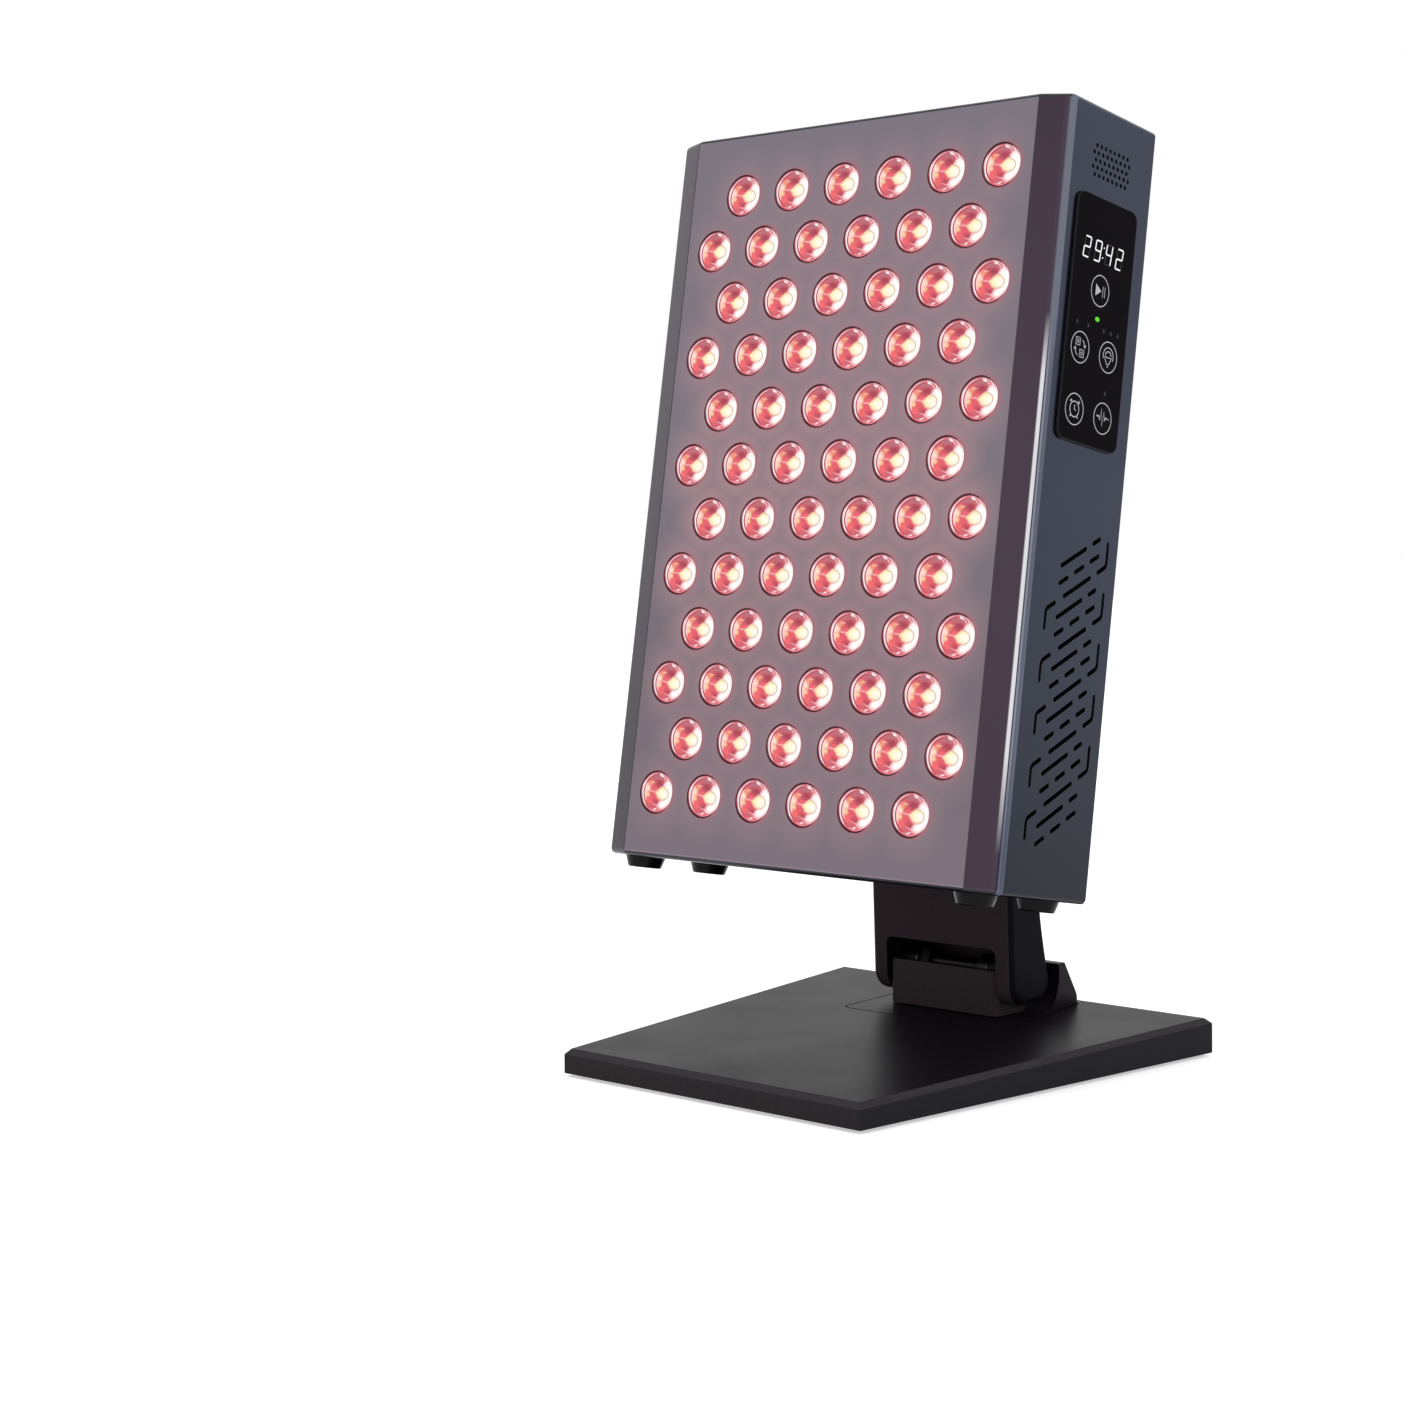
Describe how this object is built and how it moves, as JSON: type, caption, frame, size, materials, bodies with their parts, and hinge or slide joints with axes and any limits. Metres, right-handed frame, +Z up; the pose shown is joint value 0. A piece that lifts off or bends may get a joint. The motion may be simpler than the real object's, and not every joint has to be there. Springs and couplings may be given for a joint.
{
  "type": "red light therapy panel",
  "caption": "Upright lamp panel with a staggered lens field and touch keys on its side, tilting on an arm that folds on a weighted base.",
  "frame": {"origin": "on the surface the device stands on, under the middle of its base", "axes": "+Z is up, the lamps face -Y, and +X is the side with the touch glass, on the right seen from the front"},
  "size_m": [0.2301, 0.2318, 0.4368],
  "materials": {
    "stand_plastic": "black moulded plastic, satin",
    "ballast_steel": "plain steel plate",
    "rubber": "black rubber, matt",
    "hinge_steel": "bright plated steel",
    "fastener_steel": "zinc plated steel",
    "inner_steel": "plated steel",
    "arm_paint": "cast aluminium with satin black paint",
    "bracket_paint": "satin black paint on steel",
    "housing_paint": "slate blue-grey metallic paint, glossy",
    "lens_board": "clear lenses lit red",
    "spacer_brass": "plated brass",
    "heatsink_aluminium": "extruded aluminium",
    "fan_plastic": "black moulded plastic",
    "supply_case": "folded metal case",
    "circuit_board": "green circuit board",
    "touch_glass": "black glass, glossy",
    "speaker_plastic": "black plastic and paper",
    "fitting_plastic": "black plastic"
  },
  "bodies": {
    "base": {"base_shell": "stand_plastic", "ballast_plate": "ballast_steel", "base_pad": "rubber", "hinge_seat": "stand_plastic", "hinge_cover": "stand_plastic", "base_bracket": "hinge_steel", "bracket_screw_left": "fastener_steel", "bracket_screw_right": "fastener_steel"},
    "arm": {"arm_shell": "arm_paint", "arm_rear_cover": "arm_paint", "hinge_cap": "arm_paint", "base_shaft": "hinge_steel", "disc_spring_left": "hinge_steel", "disc_spring_right": "hinge_steel", "lock_nut": "fastener_steel", "head_bolt": "fastener_steel", "head_nut": "fastener_steel", "head_washer_left": "hinge_steel", "head_washer_right": "hinge_steel"},
    "panel": {"front_housing": "housing_paint", "rear_cover": "housing_paint", "backing_plate": "inner_steel", "led_board": "lens_board", "spacer_lower_left": "spacer_brass", "spacer_lower_right": "spacer_brass", "spacer_upper_left": "spacer_brass", "spacer_upper_right": "spacer_brass", "heatsink": "heatsink_aluminium", "fan_frame_upper": "fan_plastic", "fan_frame_lower": "fan_plastic", "power_supply": "supply_case", "control_board": "circuit_board", "display_module": "circuit_board", "touch_panel": "touch_glass", "speaker": "speaker_plastic", "power_inlet": "fitting_plastic", "switch_body": "fitting_plastic", "head_bracket": "bracket_paint", "head_screw_1": "fastener_steel", "head_screw_2": "fastener_steel", "head_screw_3": "fastener_steel", "head_screw_4": "fastener_steel", "foot_front_left": "rubber", "foot_front_right": "rubber", "foot_rear_left": "rubber", "foot_rear_right": "rubber"},
    "upper_fan": {"fan_rotor_upper": "fan_plastic"},
    "lower_fan": {"fan_rotor_lower": "fan_plastic"},
    "rocker": {"switch_rocker": "fitting_plastic"}
  },
  "joints": [
    {"name": "base_tilt", "type": "hinge", "parent": "base", "child": "arm", "pos_m": [0, 0.069, 0.037], "axis": [1, 0, 0], "range_deg": [-30, 25]},
    {"name": "head_tilt", "type": "hinge", "parent": "arm", "child": "panel", "pos_m": [0, 0.05609, 0.25111], "axis": [1, 0, 0], "range_deg": [-30, 12]},
    {"name": "fan_spin_upper", "type": "hinge", "parent": "panel", "child": "upper_fan", "pos_m": [0, 0.03822, 0.34137], "axis": [0, 0.9859, -0.1671], "continuous": true},
    {"name": "fan_spin_lower", "type": "hinge", "parent": "panel", "child": "lower_fan", "pos_m": [0, 0.00948, 0.17179], "axis": [0, 0.9859, -0.1671], "continuous": true},
    {"name": "switch_rock", "type": "hinge", "parent": "panel", "child": "rocker", "pos_m": [0.078, 0.00978, 0.10743], "axis": [1, 0, 0], "range_deg": [-16, 0]}
  ]
}
